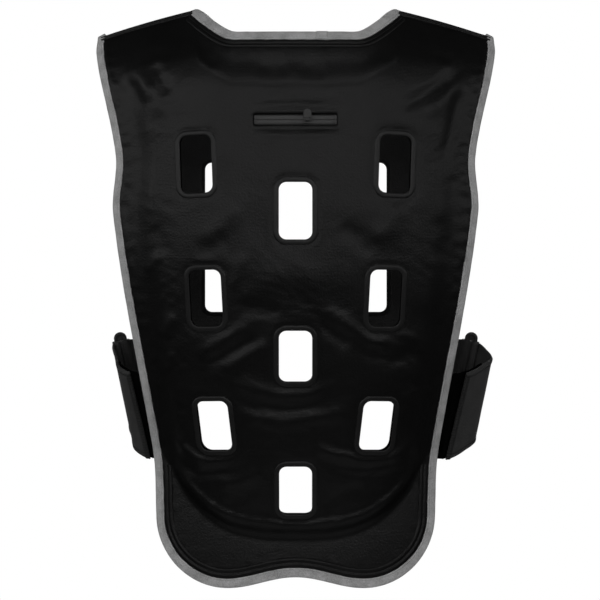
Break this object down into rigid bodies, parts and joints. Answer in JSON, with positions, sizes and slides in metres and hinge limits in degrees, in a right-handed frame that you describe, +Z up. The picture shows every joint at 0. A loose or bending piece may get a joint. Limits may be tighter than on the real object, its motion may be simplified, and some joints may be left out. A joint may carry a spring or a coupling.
{
  "type": "back protector",
  "caption": "Vest-style rider's back protector: soft padded back with rimmed windows, bound edges, wide side straps on ring loops, open zipped front and a short zip across the shoulder blades.",
  "frame": {"origin": "midway between the two shoulder high points beside the neck", "axes": "+X to the wearer's right, +Y to the wearer's front, +Z up"},
  "size_m": [0.4364, 0.2364, 0.6272],
  "materials": {
    "shell_cloth": "matt black stretch cloth with a fine weave",
    "lining": "dark knitted lining",
    "foam": "dense closed-cell foam",
    "rim": "soft moulded window rim",
    "binding": "grey reflective edge tape with a fine grain",
    "facing": "matt black facing tape",
    "zip_tape": "coated zip tape",
    "zip_teeth": "moulded plastic",
    "zip_metal": "black lacquered zip metal",
    "strap": "woven elastic strap",
    "hook": "hook tape",
    "loop_pile": "brushed loop pile",
    "front_tab": "woven tab",
    "ring": "moulded ring loop"
  },
  "bodies": {
    "back": {"back_shell": "shell_cloth", "back_pad": "foam", "back_lining": "lining", "rim_row1_left": "rim", "rim_row1_right": "rim", "rim_mid1": "rim", "rim_row2_left": "rim", "rim_row2_right": "rim", "rim_mid2": "rim", "rim_row3_left": "rim", "rim_row3_right": "rim", "rim_mid3": "rim", "binding_back": "binding", "binding_neck": "binding", "facing_tail": "facing", "facing_neck": "facing", "zip_tape_upper": "zip_tape", "zip_tape_lower": "zip_tape", "zip_stops": "zip_teeth", "shoulder_seam_left": "facing", "shoulder_seam_right": "facing", "yoke_left": "shell_cloth", "yoke_right": "shell_cloth", "yoke_binding_left": "binding", "yoke_binding_right": "binding", "back_tab_left": "loop_pile", "back_tab_right": "loop_pile", "ring_left": "ring", "ring_right": "ring"},
    "strap_left": {"strap_left": "strap", "hook_left": "hook"},
    "front_left": {"front_shell_left": "shell_cloth", "front_lining_left": "lining", "front_rim1_left": "rim", "front_rim2_left": "rim", "front_binding_left": "binding", "front_tab_left": "front_tab", "front_tape_left": "zip_tape", "front_chain_left": "zip_teeth"},
    "strap_right": {"strap_right": "strap", "hook_right": "hook"},
    "front_right": {"front_shell_right": "shell_cloth", "front_lining_right": "lining", "front_rim1_right": "rim", "front_rim2_right": "rim", "front_binding_right": "binding", "front_tab_right": "front_tab", "front_tape_right": "zip_tape", "front_chain_right": "zip_teeth", "front_zip_box": "zip_teeth"},
    "zip_slider": {"zip_slider": "zip_metal"},
    "zip_pull": {"zip_pull": "zip_metal"},
    "front_slider": {"front_slider": "zip_metal"},
    "front_pull": {"front_pull": "zip_metal"}
  },
  "joints": [
    {"name": "zip_slide", "type": "slide", "parent": "back", "child": "zip_slider", "axis": [1, 0, 0], "range_m": [-0.0485, 0.0235]},
    {"name": "zip_pull_hinge", "type": "hinge", "parent": "zip_slider", "child": "zip_pull", "pos_m": [0.0125, -0.0136, -0.125], "axis": [1, 0, 0], "range_deg": [0, 165]},
    {"name": "strap_right_peel", "type": "hinge", "parent": "back", "child": "strap_right", "pos_m": [0.192, 0.17, -0.407], "axis": [0.1885, -0.1564, 0.9695], "range_deg": [0, 100]},
    {"name": "strap_left_peel", "type": "hinge", "parent": "back", "child": "strap_left", "pos_m": [-0.192, 0.17, -0.407], "axis": [0.1885, 0.1564, -0.9695], "range_deg": [0, 100]},
    {"name": "front_right_swing", "type": "hinge", "parent": "back", "child": "front_right", "pos_m": [0.18218, 0.17, -0.40509], "axis": [-0.1885, 0.1564, -0.9695], "range_deg": [0, 35], "deforming": ["yoke_right", "yoke_binding_right"]},
    {"name": "front_left_swing", "type": "hinge", "parent": "back", "child": "front_left", "pos_m": [-0.18218, 0.17, -0.40509], "axis": [-0.1885, -0.1564, 0.9695], "range_deg": [0, 35], "deforming": ["yoke_left", "yoke_binding_left"]},
    {"name": "front_zip_slide", "type": "slide", "parent": "front_right", "child": "front_slider", "axis": [0, 0, 1], "range_m": [0, 0.255]},
    {"name": "front_pull_hinge", "type": "hinge", "parent": "front_slider", "child": "front_pull", "pos_m": [0.0286, 0.21945, -0.388], "axis": [1, 0, 0], "range_deg": [0, 150]}
  ]
}
